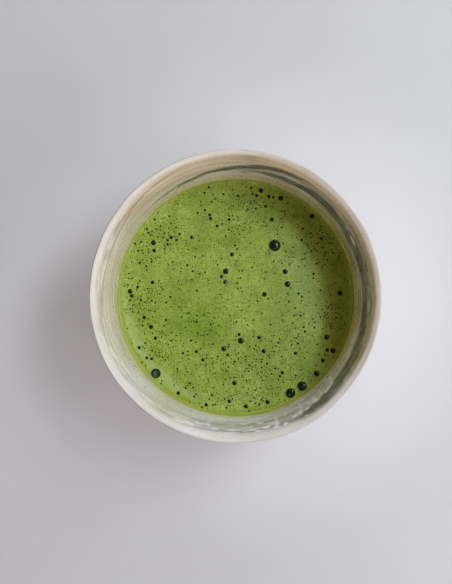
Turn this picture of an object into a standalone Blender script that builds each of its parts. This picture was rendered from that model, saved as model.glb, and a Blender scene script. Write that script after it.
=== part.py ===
"""A tea bowl (chawan) holding whisked matcha.

Metres, +Z up. The origin is the centre of the foot's bottom plane, on the bowl's own axis.

bowl_body   the thrown stoneware wall and floor, with a rounded lip
foot_ring   the attached foot (kodai) under the floor
matcha_tea  the liquid, from the floor up to the underside of the froth
matcha_foam the froth raft, with a round hole where each big bubble sits
bubble_NN   the big bubbles, each a film dome standing on the liquid in its hole

The liquid, the froth and the bubbles hang on one empty on the bowl's axis, about which they swirl.
"""

import math

import bmesh
import bpy
from mathutils import Matrix

MM = 0.001

# Driving dimensions, in millimetres
BOWL_HEIGHT = 75.0
RIM_RADIUS = 60.3  # widest, just under the crest of the lip
FLOOR_TOP = 12.6  # inside of the floor above the table
FOOT_HEIGHT = 7.0
FOOT_OUTER = 27.0
FOOT_INNER = 22.0
FOOT_EDGE = 0.7  # small chamfer on the foot's edges
UNDERSIDE_RADIUS = 28.4  # flat of the underside, which the foot is luted on to
JOINT_GAP = 0.3  # clearance between pieces that touch
FROTH_BOTTOM = 39.3
FROTH_TOP = 41.0
MENISCUS_RISE = 0.6
MENISCUS_WIDTH = 1.4
TURNS = 60  # facets round the axis

# Big bubbles: distance from the axis, bearing (counter-clockwise from +X, degrees), radius
BUBBLES = [
    (29.7, 52.7, 2.6),
    (50.3, 223.8, 2.19),
    (50.3, 299.8, 2.19),
    (50.6, 306.8, 2.15),
    (20.1, 277.3, 1.37),
    (12.6, 110.2, 1.33),
    (24.6, 13.9, 1.33),
    (50.8, 316.8, 1.28),
    (25.6, 27.0, 1.19),
    (50.0, 65.3, 1.19),
    (45.4, 336.3, 1.19),
    (45.1, 146.4, 1.19),
]


def through(stations, per_span):
    """Points along a smooth curve through the stations (Catmull-Rom, end tangents from the end spans)."""
    pts = [stations[0]] + list(stations) + [stations[-1]]
    out = []
    for k in range(1, len(pts) - 2):
        p0, p1, p2, p3 = pts[k - 1], pts[k], pts[k + 1], pts[k + 2]
        for i in range(per_span):
            t = i / per_span
            out.append(
                tuple(
                    0.5
                    * (
                        2 * p1[a]
                        + (p2[a] - p0[a]) * t
                        + (2 * p0[a] - 5 * p1[a] + 4 * p2[a] - p3[a]) * t * t
                        + (3 * p1[a] - p0[a] - 3 * p2[a] + p3[a]) * t ** 3
                    )
                    for a in (0, 1)
                )
            )
    out.append(tuple(stations[-1]))
    return out


def inset(curve, gap):
    """The curve moved sideways by the gap, towards the inside of the bowl. The curve climbs from the floor outwards and up."""
    out = []
    for i, (r, z) in enumerate(curve):
        a = curve[max(i - 1, 0)]
        b = curve[min(i + 1, len(curve) - 1)]
        dr, dz = b[0] - a[0], b[1] - a[1]
        n = math.hypot(dr, dz)
        out.append((max(r - gap * dz / n, 0.0), z + gap * dr / n))
    out[0] = (0.0, out[0][1])
    return out


def radius_at(curve, z):
    for (r0, z0), (r1, z1) in zip(curve, curve[1:]):
        if z0 <= z <= z1:
            return r0 + (r1 - r0) * (z - z0) / (z1 - z0)
    raise ValueError("the curve doesn't reach that height")


def material(name, colour, roughness, metallic=0.0):
    m = bpy.data.materials.new(name)
    m.use_nodes = True
    b = m.node_tree.nodes["Principled BSDF"]
    b.inputs["Base Color"].default_value = (*colour, 1.0)
    b.inputs["Roughness"].default_value = roughness
    b.inputs["Metallic"].default_value = metallic
    return m


def turned(name, profile, mat, closed=False, turns=TURNS, parent=None, location=(0, 0, 0)):
    """A turned body: the profile (radius, height in mm) spun round Z. It runs down its outer side."""
    mesh = bpy.data.meshes.new(name)
    verts = [(r * MM, 0.0, z * MM) for r, z in profile]
    edges = [(i, i + 1) for i in range(len(verts) - 1)]
    if closed:
        edges.append((len(verts) - 1, 0))
    mesh.from_pydata(verts, edges, [])
    obj = bpy.data.objects.new(name, mesh)
    bpy.context.scene.collection.objects.link(obj)
    screw = obj.modifiers.new("spin", "SCREW")
    screw.axis = "Z"
    screw.angle = 2 * math.pi
    screw.steps = turns
    screw.render_steps = turns
    screw.use_merge_vertices = True
    screw.merge_threshold = 0.00002
    screw.use_smooth_shade = True
    mesh.materials.append(mat)
    if parent is not None:
        obj.parent = parent
    obj.location = tuple(c * MM for c in location)
    return obj


for old in list(bpy.data.objects):
    bpy.data.objects.remove(old, do_unlink=True)

glaze = material("slip_glaze", (0.62, 0.59, 0.51), 0.28)
clay = material("bare_clay", (0.36, 0.31, 0.26), 0.85)
tea = material("matcha_liquid", (0.16, 0.24, 0.05), 0.08)
froth = material("matcha_froth", (0.27, 0.36, 0.07), 0.45)
film = material("bubble_film", (0.12, 0.17, 0.05), 0.06)

# The inside of the bowl, from the middle of the floor out and up to just under the lip
inside = through(
    [
        (0.0, FLOOR_TOP),
        (14.0, FLOOR_TOP + 0.3),
        (27.0, FLOOR_TOP + 1.7),
        (38.0, FLOOR_TOP + 5.6),
        (46.4, FLOOR_TOP + 12.3),
        (51.4, FLOOR_TOP + 20.6),
        (53.7, FROTH_TOP),
        (54.7, 53.0),
        (55.4, 64.7),
    ],
    3,
)
# Over the lip: the inside flares gently up to a crest close to the outer edge, which rounds off sharply
lip = [
    (55.8, 67.5),
    (56.3, 69.6),
    (56.9, 71.3),
    (57.5, 72.6),
    (58.15, 73.65),
    (58.85, 74.5),
    (59.5, 74.93),
    (59.85, BOWL_HEIGHT),
    (60.12, 74.8),
    (60.27, 74.2),
    (RIM_RADIUS, 73.2),
]
# Down the outside: a nearly upright wall, the hip, and in to the foot
outside = through(
    [
        (RIM_RADIUS - 0.02, 71.0),
        (60.0, 62.0),
        (59.6, 51.5),
        (58.7, 40.5),
        (56.4, 29.6),
        (51.8, 20.2),
        (44.6, 13.1),
        (36.4, 9.2),
        (UNDERSIDE_RADIUS, FOOT_HEIGHT + JOINT_GAP),
    ],
    2,
)
bowl_body = turned(
    "bowl_body",
    inside + lip + outside + [(0.0, FOOT_HEIGHT + JOINT_GAP)],
    glaze,
)

# The foot ring: slightly splayed, with softened edges, a flat sole and a flat top under the body
foot_ring = turned(
    "foot_ring",
    [
        (FOOT_OUTER + 0.9, FOOT_HEIGHT),
        (FOOT_OUTER + 0.2, FOOT_HEIGHT * 0.55),
        (FOOT_OUTER, FOOT_EDGE),
        (FOOT_OUTER - FOOT_EDGE, 0.0),
        (FOOT_INNER + FOOT_EDGE, 0.0),
        (FOOT_INNER, FOOT_EDGE),
        (FOOT_INNER - 0.4, FOOT_HEIGHT * 0.55),
        (FOOT_INNER - 1.0, FOOT_HEIGHT),
    ],
    clay,
    closed=True,
)

# Everything that swirls hangs on this empty, which stands on the bowl's axis
swirl = bpy.data.objects.new("swirl_axis", None)
swirl.location = (0.0, 0.0, FROTH_TOP * MM)
bpy.context.scene.collection.objects.link(swirl)


def below(profile):
    """The profile with its heights counted from the swirl empty."""
    return [(r, z - FROTH_TOP) for r, z in profile]


# The liquid fills the bowl, a joint gap clear of the wall and the floor, up to the froth's underside
wet = inset(inside, JOINT_GAP * 1.15)
liquid_top = FROTH_BOTTOM - JOINT_GAP
liquid_side = [p for p in wet if p[1] < liquid_top - 0.2]
liquid = (
    [(0.0, liquid_top), (radius_at(wet, liquid_top), liquid_top)]
    + liquid_side[::-1]
)
matcha_tea = turned("matcha_tea", below(liquid), tea, parent=swirl)

# The froth raft: flat, with a small meniscus climbing at the wall
edge_low = radius_at(wet, FROTH_BOTTOM)
edge_top = radius_at(wet, FROTH_TOP + MENISCUS_RISE)
raft = [
    (0.0, FROTH_TOP),
    (edge_top - MENISCUS_WIDTH * 2, FROTH_TOP),
    (edge_top - MENISCUS_WIDTH, FROTH_TOP + MENISCUS_RISE * 0.12),
    (edge_top - MENISCUS_WIDTH * 0.4, FROTH_TOP + MENISCUS_RISE * 0.5),
    (edge_top, FROTH_TOP + MENISCUS_RISE),
    (radius_at(wet, FROTH_TOP), FROTH_TOP),
    (edge_low, FROTH_BOTTOM),
    (0.0, FROTH_BOTTOM),
]
matcha_foam = turned("matcha_foam", below(raft), froth, parent=swirl)

# A cutter of one round plug for each big bubble opens its hole in the froth
plugs = bmesh.new()
for distance, bearing, radius in BUBBLES:
    x = distance * math.cos(math.radians(bearing)) * MM
    y = distance * math.sin(math.radians(bearing)) * MM
    bmesh.ops.create_cone(
        plugs,
        cap_ends=True,
        segments=20,
        radius1=(radius + JOINT_GAP) * MM,
        radius2=(radius + JOINT_GAP) * MM,
        depth=8 * MM,
        matrix=Matrix.Translation((x, y, -0.8 * MM)),
    )
plug_mesh = bpy.data.meshes.new("hole_cutter")
plugs.to_mesh(plug_mesh)
plugs.free()
hole_cutter = bpy.data.objects.new("hole_cutter", plug_mesh)
bpy.context.scene.collection.objects.link(hole_cutter)
hole_cutter.parent = swirl
hole_cutter.hide_render = True
hole_cutter.display_type = "WIRE"
cut = matcha_foam.modifiers.new("holes", "BOOLEAN")
cut.operation = "DIFFERENCE"
cut.object = hole_cutter
cut.solver = "EXACT"

# Each bubble stands on the liquid, a joint gap clear of it, and domes over the froth
DOME = 0.5  # height of the dome above the froth, as a share of the bubble's radius
for number, (distance, bearing, radius) in enumerate(BUBBLES, 1):
    base = FROTH_BOTTOM - FROTH_TOP
    dome = [
        (
            radius * math.sin(math.radians(a)),
            radius * DOME * math.cos(math.radians(a)),
        )
        for a in (0, 25, 50, 72, 90)
    ]
    dome[0] = (0.0, radius * DOME)
    turned(
        f"bubble_{number:02d}",
        dome + [(radius * 0.98, base * 0.55), (radius * 0.86, base), (0.0, base)],
        film,
        turns=16,
        parent=swirl,
        location=(
            distance * math.cos(math.radians(bearing)),
            distance * math.sin(math.radians(bearing)),
            0.0,
        ),
    )
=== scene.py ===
"""The looks of the matcha bowl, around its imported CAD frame. Lengths here are in millimetres unless a name says metres."""

import math

import bpy
import mathutils
import numpy as np
from mathutils.geometry import delaunay_2d_cdt
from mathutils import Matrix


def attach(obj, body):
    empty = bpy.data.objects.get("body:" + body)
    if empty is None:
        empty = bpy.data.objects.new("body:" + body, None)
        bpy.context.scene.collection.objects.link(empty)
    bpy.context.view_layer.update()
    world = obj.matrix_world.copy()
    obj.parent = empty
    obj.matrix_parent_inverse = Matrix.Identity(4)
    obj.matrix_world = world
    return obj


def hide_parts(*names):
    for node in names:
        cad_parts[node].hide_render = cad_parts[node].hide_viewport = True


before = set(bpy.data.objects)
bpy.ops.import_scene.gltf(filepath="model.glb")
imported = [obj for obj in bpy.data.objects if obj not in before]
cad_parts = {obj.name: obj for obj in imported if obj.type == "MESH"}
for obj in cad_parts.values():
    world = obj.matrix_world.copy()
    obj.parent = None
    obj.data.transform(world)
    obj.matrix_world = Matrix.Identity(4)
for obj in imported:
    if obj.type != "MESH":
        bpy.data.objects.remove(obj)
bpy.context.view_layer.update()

MM = 0.001
FROTH = 41.0  # the froth's level
LIQUID = 39.0  # the liquid's level under it

# --------------------------------------------------------------------------- numbers


def vnoise(p, seed=0):
    """Value noise in -1..1 at the rows of p."""
    p = np.asarray(p, float)
    i = np.floor(p).astype(np.int64)
    f = p - i
    u = f * f * f * (f * (f * 6 - 15) + 10)

    def h(dx, dy, dz):
        n = (i[:, 0] + dx) * 374761393 + (i[:, 1] + dy) * 668265263 + (i[:, 2] + dz) * 1274126177 + seed * 974634777
        n = n & 0xFFFFFFFF
        n = ((n ^ (n >> 13)) * 1103515245) & 0xFFFFFFFF
        n = ((n ^ (n >> 15)) * 2246822519) & 0xFFFFFFFF
        n = n ^ (n >> 16)
        return (n & 0xFFFFFF) / float(0xFFFFFF) * 2 - 1

    def mix(a, b, t):
        return a + (b - a) * t

    x0 = mix(mix(h(0, 0, 0), h(1, 0, 0), u[:, 0]), mix(h(0, 1, 0), h(1, 1, 0), u[:, 0]), u[:, 1])
    x1 = mix(mix(h(0, 0, 1), h(1, 0, 1), u[:, 0]), mix(h(0, 1, 1), h(1, 1, 1), u[:, 0]), u[:, 1])
    return mix(x0, x1, u[:, 2])


def fbm(p, octaves=3, seed=0):
    total, amp, norm = 0.0, 1.0, 0.0
    p = np.asarray(p, float)
    for k in range(octaves):
        total = total + amp * vnoise(p * 2.0**k + 17.3 * k, seed + k)
        norm += amp
        amp *= 0.5
    return total / norm


def ss(a, b, x):
    """Smooth step from 0 at a to 1 at b."""
    t = np.clip((np.asarray(x, float) - a) / (b - a), 0, 1)
    return t * t * (3 - 2 * t)


def through(stations, per_span):
    pts = [stations[0]] + list(stations) + [stations[-1]]
    out = []
    for k in range(1, len(pts) - 2):
        p0, p1, p2, p3 = (np.array(pts[k + j], float) for j in (-1, 0, 1, 2))
        for i in range(per_span):
            t = i / per_span
            out.append(
                0.5 * (2 * p1 + (p2 - p0) * t + (2 * p0 - 5 * p1 + 4 * p2 - p3) * t * t + (3 * p1 - p0 - 3 * p2 + p3) * t**3)
            )
    out.append(np.array(stations[-1], float))
    return np.array(out)


def along(curve, spacing):
    """The curve resampled so that neighbours are about spacing(r, z) apart. Returns points and their arc length."""
    seg = np.hypot(*np.diff(curve, axis=0).T)
    s = np.concatenate([[0], np.cumsum(seg)])
    at, here = [0.0], 0.0
    while here < s[-1] - 1e-6:
        r = np.interp(here, s, curve[:, 0])
        z = np.interp(here, s, curve[:, 1])
        here = min(here + spacing(r, z), s[-1])
        at.append(here)
    at = np.array(at)
    return np.stack([np.interp(at, s, curve[:, 0]), np.interp(at, s, curve[:, 1])], 1), at


# --------------------------------------------------------------------------- meshes


def make_object(name, verts_mm, faces, attributes=None, smooth=True):
    mesh = bpy.data.meshes.new(name)
    mesh.from_pydata((np.asarray(verts_mm) * MM).tolist(), [], faces)
    for key, values in (attributes or {}).items():
        a = mesh.attributes.new(key, "FLOAT", "POINT")
        a.data.foreach_set("value", np.asarray(values, np.float32))
    if smooth:
        mesh.shade_smooth()
    mesh.update()
    obj = bpy.data.objects.new(name, mesh)
    bpy.context.scene.collection.objects.link(obj)
    return obj


def lathe(profile, turns, move=None, loop=False, spread=None):
    """Rings of a turned skin. profile: (r, z) rows, run so that the solid lies on the right of the path seen with the axis on the left.
    move(theta, ring index) gives the shift along the profile's normal and spread(theta, ring index) the shift in radius.
    Ends on the axis become poles, and a loop closes on itself."""
    n = len(profile)
    prev = np.roll(profile, 1, 0) if loop else np.vstack([profile[:1], profile[:-1]])
    nxt = np.roll(profile, -1, 0) if loop else np.vstack([profile[1:], profile[-1:]])
    tan = nxt - prev
    tan /= np.maximum(np.hypot(tan[:, 0], tan[:, 1]), 1e-9)[:, None]
    nor = np.stack([-tan[:, 1], tan[:, 0]], 1)
    theta = np.arange(turns) * (2 * math.pi / turns)
    T, I = np.meshgrid(theta, np.arange(n))
    shift = move(T, I) if move is not None else np.zeros_like(T)
    R = profile[I, 0] + nor[I, 0] * shift
    Z = profile[I, 1] + nor[I, 1] * shift
    if spread is not None:
        R = R + spread(T, I)
    on_axis = profile[:, 0] < 1e-6
    verts, index = [], np.zeros((n, turns), int)
    for i in range(n):
        if on_axis[i]:
            index[i] = len(verts)
            verts.append((0.0, 0.0, float(Z[i].mean())))
        else:
            index[i] = np.arange(turns) + len(verts)
            verts.extend(np.stack([R[i] * np.cos(theta), R[i] * np.sin(theta), Z[i]], 1).tolist())
    faces = []
    for i in range(n if loop else n - 1):
        a, b = index[i], index[(i + 1) % n]
        a2, b2 = np.roll(a, -1), np.roll(b, -1)
        if on_axis[i]:
            faces += np.stack([a, b, b2], 1).tolist()
        elif on_axis[(i + 1) % n]:
            faces += np.stack([a, b, a2], 1).tolist()
        else:
            faces += np.stack([a, b, b2, a2], 1).tolist()
    flat_t = np.zeros(len(verts))
    flat_i = np.zeros(len(verts), int)
    for i in range(n):
        flat_t[index[i]] = theta
        flat_i[index[i]] = i
    return np.array(verts), faces, flat_t, flat_i


# --------------------------------------------------------------------------- materials


class Graph:
    """A material's nodes, made by name; a socket or a value goes straight in as an input."""

    def __init__(self, name):
        self.material = bpy.data.materials.new(name)
        self.material.use_nodes = True
        self.tree = self.material.node_tree
        self.tree.nodes.clear()

    def add(self, kind, inputs=None, **props):
        n = self.tree.nodes.new(kind)
        for k, v in props.items():
            setattr(n, k, v)
        for k, v in (inputs or {}).items():
            socket = n.inputs[k]
            if isinstance(v, bpy.types.NodeSocket):
                self.tree.links.new(v, socket)
            elif isinstance(v, bpy.types.Node):
                self.tree.links.new(v.outputs[0], socket)
            else:
                socket.default_value = v
        return n

    def math(self, op, a, b=0.0, clamp=False):
        return self.add("ShaderNodeMath", {0: a, 1: b}, operation=op, use_clamp=clamp).outputs[0]

    def vec(self, op, a, b=(0, 0, 0)):
        return self.add("ShaderNodeVectorMath", {0: a, 1: b}, operation=op).outputs[0]

    def scaled(self, a, k):
        n = self.add("ShaderNodeVectorMath", {0: a}, operation="SCALE")
        n.inputs["Scale"].default_value = k
        return n.outputs[0]

    def attr(self, name):
        return self.add("ShaderNodeAttribute", attribute_name=name, attribute_type="GEOMETRY").outputs["Fac"]

    def noise(self, vector, scale, detail=2.0, rough=0.5, distortion=0.0):
        return self.add(
            "ShaderNodeTexNoise",
            {"Vector": vector, "Scale": scale, "Detail": detail, "Roughness": rough, "Distortion": distortion},
        ).outputs[0]

    def ramp(self, fac, stops, interpolation="LINEAR"):
        n = self.add("ShaderNodeValToRGB", {"Fac": fac})
        n.color_ramp.interpolation = interpolation
        while len(n.color_ramp.elements) < len(stops):
            n.color_ramp.elements.new(0.5)
        for e, (pos, colour) in zip(n.color_ramp.elements, stops):
            e.position = pos
            e.color = (*colour, 1) if not isinstance(colour, (int, float)) else (colour, colour, colour, 1)
        return n.outputs[0]

    def remap(self, v, a, b, c=0.0, d=1.0, kind="LINEAR"):
        return self.add("ShaderNodeMapRange", {0: v, 1: a, 2: b, 3: c, 4: d}, interpolation_type=kind, clamp=True).outputs[0]

    def mix(self, fac, a, b, blend="MIX"):
        n = self.add("ShaderNodeMix", data_type="RGBA", blend_type=blend)
        n.clamp_factor = True
        for k, v in ((0, fac), (6, a), (7, b)):
            if isinstance(v, bpy.types.NodeSocket):
                self.tree.links.new(v, n.inputs[k])
            else:
                n.inputs[k].default_value = v if k == 0 else (*v[:3], 1)
        return n.outputs[2]

    def bump(self, height, distance_mm, strength=1.0, normal=None):
        inputs = {"Height": height, "Distance": distance_mm * MM, "Strength": strength}
        if normal is not None:
            inputs["Normal"] = normal
        return self.add("ShaderNodeBump", inputs).outputs[0]

    def finish(self, **inputs):
        b = self.add("ShaderNodeBsdfPrincipled", {k.replace("_", " "): v for k, v in inputs.items()})
        self.add("ShaderNodeOutputMaterial", {"Surface": b})
        return self.material

    def place_mm(self):
        return self.scaled(self.add("ShaderNodeTexCoord").outputs["Object"], 1000.0)


def turned_coordinates(g, around, across):
    """A noise vector on a turned surface: about `around` cells per radian round it, and 1/`across` cells per mm along the profile."""
    p = g.place_mm()
    flat = g.vec("MULTIPLY", p, (1, 1, 0))
    unit = g.vec("NORMALIZE", flat)
    ring = g.scaled(unit, around)
    up = g.add("ShaderNodeCombineXYZ", {"Z": g.math("MULTIPLY", g.attr("arc"), 1.0 / across)}).outputs[0]
    return g.vec("ADD", ring, up)


def glaze_material():
    """Brushed white slip over grey stoneware, under a clear glaze."""
    g = Graph("brushed_slip_glaze")
    slip, film, warm, bare = g.attr("slip"), g.attr("film"), g.attr("warm"), g.attr("bare")
    p = g.place_mm()
    broad = g.noise(turned_coordinates(g, 2.0, 2.6), 1.0, 3.0, 0.55)
    hairs = g.noise(turned_coordinates(g, 5.0, 0.55), 1.0, 2.0, 0.6)
    fine = g.noise(turned_coordinates(g, 14.0, 0.22), 1.0, 1.0, 0.5)
    lines = g.noise(turned_coordinates(g, 2.6, 1.35), 1.0, 1.0, 0.5)
    streak = g.math("ADD", g.math("MULTIPLY", broad, 0.30), g.math("ADD", g.math("MULTIPLY", hairs, 0.28), g.math("MULTIPLY", fine, 0.12)))
    streak = g.math("ADD", streak, g.math("MULTIPLY", lines, 0.30))
    # bristle marks bite hardest where the slip is neither thick nor gone
    half = g.math("SUBTRACT", 1.0, g.math("ABSOLUTE", g.math("SUBTRACT", g.math("MULTIPLY", slip, 2.0), 1.0)))
    bite = g.math("ADD", g.math("MULTIPLY", half, 0.90), 0.72)
    cover = g.math("ADD", slip, g.math("MULTIPLY", g.math("SUBTRACT", streak, 0.5), bite))
    colour = g.ramp(
        cover,
        [
            (0.00, (0.110, 0.104, 0.080)),
            (0.28, (0.225, 0.214, 0.165)),
            (0.52, (0.440, 0.418, 0.340)),
            (0.76, (0.670, 0.620, 0.525)),
            (1.00, (0.840, 0.785, 0.705)),
        ],
    )
    patch = g.noise(p, 0.045, 3.0, 0.6)
    colour = g.mix(g.remap(patch, 0.38, 0.66, 0.0, 0.30), colour, (0.60, 0.545, 0.43), "MULTIPLY")
    colour = g.mix(warm, colour, g.mix(1.0, colour, (0.85, 0.735, 0.60), "MULTIPLY"))
    # painted reflection: a bluish, brighter tint standing in for the sky reflected in the glaze
    colour = g.mix(g.attr("painted_sky_reflection"), colour, g.mix(1.0, colour, (1.05, 1.11, 1.34), "MULTIPLY"))
    # tea film left on the wall above the froth
    wisps = g.noise(turned_coordinates(g, 9.0, 2.4), 1.0, 3.0, 0.6)
    stain = g.math("MULTIPLY", film, g.remap(wisps, 0.2, 0.75, 0.65, 1.15))
    colour = g.mix(stain, colour, g.mix(1.0, colour, (0.93, 0.925, 0.27), "MULTIPLY"))
    colour = g.mix(g.attr("tide"), colour, g.mix(1.0, colour, (0.58, 0.66, 0.13), "MULTIPLY"))
    # iron specks in the clay show through the glaze
    cells = g.add("ShaderNodeTexVoronoi", {"Vector": p, "Scale": 0.55, "Randomness": 1.0}).outputs["Distance"]
    pick = g.noise(p, 0.31, 1.0, 0.5)
    speck = g.math("MULTIPLY", g.remap(cells, 0.07, 0.13, 1.0, 0.0), g.remap(pick, 0.56, 0.60, 0.0, 0.8))
    colour = g.mix(speck, colour, (0.16, 0.12, 0.085))
    # bare clay below the glaze line
    grit = g.noise(p, 1.6, 4.0, 0.65)
    clay = g.ramp(grit, [(0.25, (0.150, 0.122, 0.096)), (0.55, (0.285, 0.240, 0.190)), (0.80, (0.400, 0.350, 0.285))])
    colour = g.mix(bare, colour, clay)
    rough = g.math("ADD", g.remap(g.noise(p, 0.5, 3.0, 0.6), 0.3, 0.7, 0.24, 0.36), g.math("MULTIPLY", bare, 0.5))
    normal = g.bump(streak, 0.14, 0.55)
    normal = g.bump(g.noise(p, 1.3, 3.0, 0.6), 0.05, 0.6, normal)
    normal = g.bump(g.math("MULTIPLY", bare, grit), 0.25, 0.9, normal)
    return g.finish(Base_Color=colour, Roughness=rough, Normal=normal, IOR=1.48)


def clay_material():
    g = Graph("bare_gritty_clay")
    p = g.place_mm()
    grit = g.noise(p, 1.5, 5.0, 0.68)
    rings = g.noise(turned_coordinates(g, 1.4, 0.8), 1.0, 2.0, 0.5)
    colour = g.ramp(
        g.math("ADD", g.math("MULTIPLY", grit, 0.7), g.math("MULTIPLY", rings, 0.3)),
        [(0.28, (0.150, 0.118, 0.090)), (0.50, (0.275, 0.228, 0.178)), (0.72, (0.400, 0.345, 0.280))],
    )
    cells = g.add("ShaderNodeTexVoronoi", {"Vector": p, "Scale": 0.9, "Randomness": 1.0}).outputs["Distance"]
    colour = g.mix(g.remap(cells, 0.08, 0.16, 0.85, 0.0), colour, (0.55, 0.50, 0.43))
    dark = g.add("ShaderNodeTexVoronoi", {"Vector": g.vec("ADD", p, (31.0, 7.0, 3.0)), "Scale": 0.6, "Randomness": 1.0}).outputs["Distance"]
    colour = g.mix(g.remap(dark, 0.05, 0.11, 0.9, 0.0), colour, (0.055, 0.040, 0.030))
    normal = g.bump(grit, 0.30, 0.9)
    normal = g.bump(rings, 0.20, 0.8, normal)
    return g.finish(Base_Color=colour, Roughness=g.remap(grit, 0.3, 0.7, 0.95, 0.72), Normal=normal)


def froth_material():
    """Fine wet foam: pale green micro-bubbles over dark liquid, thinner and yellower at the wall."""
    g = Graph("whisked_froth")
    p = g.place_mm()
    pit, edge, thin, pale, sheen, wall_shade = (g.attr(k) for k in ("pit", "edge", "thin", "pale", "sheen", "wall_shade"))
    cloud = g.noise(p, 0.085, 4.0, 0.6, 0.6)
    mottle = g.noise(p, 0.50, 3.0, 0.7, 0.3)
    grain = g.noise(p, 1.9, 2.0, 0.85)
    body = g.ramp(
        g.math("ADD", g.math("MULTIPLY", cloud, 0.30), g.math("ADD", g.math("MULTIPLY", mottle, 0.25), g.math("MULTIPLY", grain, 0.45))),
        [(0.36, (0.200, 0.282, 0.028)), (0.50, (0.385, 0.492, 0.076)), (0.64, (0.620, 0.725, 0.170))],
    )
    # yellower and bluer flecks
    tint = g.noise(g.vec("ADD", p, (40.0, 11.0, 0.0)), 0.9, 3.0, 0.7)
    body = g.mix(g.remap(tint, 0.42, 0.30, 0.0, 0.55), body, g.mix(1.0, body, (1.16, 1.04, 0.55), "MULTIPLY"))
    body = g.mix(g.remap(tint, 0.58, 0.72, 0.0, 0.55), body, g.mix(1.0, body, (0.86, 0.98, 1.35), "MULTIPLY"))
    # darker, duller froth: thinner patches, and painted shade near the top wall
    body = g.mix(thin, body, g.mix(1.0, body, (0.66, 0.76, 0.46), "MULTIPLY"))
    # micro-bubbles: three sizes of dark dot, each of its own size and depth, more of them in some patches
    where = g.noise(p, 0.14, 2.0, 0.5)
    for scale, low, high, shift, share, depth in ((0.50, 0.05, 0.165, 0.0, 0.62, 0.92), (0.85, 0.07, 0.24, 17.0, 0.62, 0.88), (1.35, 0.14, 0.36, 43.0, 0.62, 0.78)):
        cell = g.add("ShaderNodeTexVoronoi", {"Vector": g.vec("ADD", p, (shift, shift * 0.7, 0.0)), "Scale": scale, "Randomness": 1.0}, voronoi_dimensions="2D")
        dice = g.add("ShaderNodeSeparateColor", {"Color": cell.outputs["Color"]})
        radius = g.remap(dice.outputs[0], 0.0, 1.0, low, high)
        inside = g.math("DIVIDE", cell.outputs["Distance"], radius)
        there = g.math("LESS_THAN", dice.outputs[1], g.math("MULTIPLY", g.remap(where, 0.30, 0.66, 0.45, 1.35), share))
        dot = g.math("MULTIPLY", g.remap(inside, 0.6, 1.3, 1.0, 0.0, "SMOOTHSTEP"), g.math("MULTIPLY", there, g.remap(dice.outputs[2], 0.0, 1.0, depth * 0.45, depth)))
        body = g.mix(dot, body, (0.080, 0.125, 0.012))
    # painted reflection along the lower left edge, a painted bluish sheen right of the middle, and painted shade,
    # darker and browner, under the right wall
    # painted reflection: paler froth where the slope up to the lower-left wall catches the light
    body = g.mix(g.math("MULTIPLY", pale, g.remap(mottle, 0.30, 0.65, 0.55, 1.0)), body, (0.480, 0.600, 0.225))
    # painted reflection of the window: a bluish patch right of the middle
    body = g.mix(sheen, body, (0.400, 0.545, 0.200))
    # painted shade: darker, browner froth in the shadow of the right wall
    body = g.mix(wall_shade, body, g.mix(1.0, body, (0.80, 0.70, 0.44), "MULTIPLY"))
    body = g.mix(edge, body, (0.370, 0.430, 0.052))
    body = g.mix(pit, body, (0.018, 0.032, 0.005))
    rough = g.mix(pit, g.remap(mottle, 0.3, 0.7, 0.38, 0.52), (0.10, 0.10, 0.10))
    rough = g.mix(edge, rough, (0.34, 0.34, 0.34))
    calm = g.math("SUBTRACT", 1.0, g.math("MAXIMUM", edge, pit))
    normal = g.bump(g.math("MULTIPLY", calm, grain), 0.22, 0.6)
    normal = g.bump(g.math("MULTIPLY", calm, mottle), 0.30, 0.55, normal)
    return g.finish(Base_Color=body, Roughness=rough, Normal=normal, IOR=1.36)


def liquid_material():
    g = Graph("matcha_liquid")
    p = g.place_mm()
    silt = g.noise(p, 0.12, 4.0, 0.6, 1.0)
    colour = g.ramp(silt, [(0.3, (0.020, 0.040, 0.006)), (0.7, (0.055, 0.090, 0.014))])
    return g.finish(Base_Color=colour, Roughness=g.remap(silt, 0.3, 0.7, 0.04, 0.10), IOR=1.34)


def film_material():
    """The bubble's film: near-clear in the middle, closing to a dark glossy edge, with painted highlights and
    reflections, paler and more opaque, where light glows on it.
    """
    g = Graph("bubble_film")
    p = g.place_mm()
    swirl = g.noise(p, 0.9, 2.0, 0.5, 1.5)
    facing = g.add("ShaderNodeLayerWeight", {"Blend": 0.45}).outputs["Facing"]
    colour = g.mix(swirl, (0.014, 0.020, 0.009), (0.036, 0.052, 0.016))
    # painted highlight: paler, more opaque film where light glows on the bubble
    colour = g.mix(g.attr("painted_highlight"), colour, (0.56, 0.61, 0.54))
    alpha = g.math("MAXIMUM", g.remap(facing, 0.0, 0.9, 0.50, 0.94), g.attr("painted_highlight"))
    return g.finish(Base_Color=colour, Roughness=g.remap(swirl, 0.2, 0.8, 0.02, 0.06), Alpha=alpha, IOR=1.42)


def speck_material():
    g = Graph("dried_froth")
    p = g.place_mm()
    n = g.noise(p, 2.2, 2.0, 0.6)
    colour = g.ramp(n, [(0.3, (0.085, 0.110, 0.022)), (0.7, (0.200, 0.230, 0.060))])
    return g.finish(Base_Color=colour, Roughness=g.remap(n, 0.3, 0.7, 0.35, 0.6), Normal=g.bump(n, 0.1, 0.7))


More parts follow.
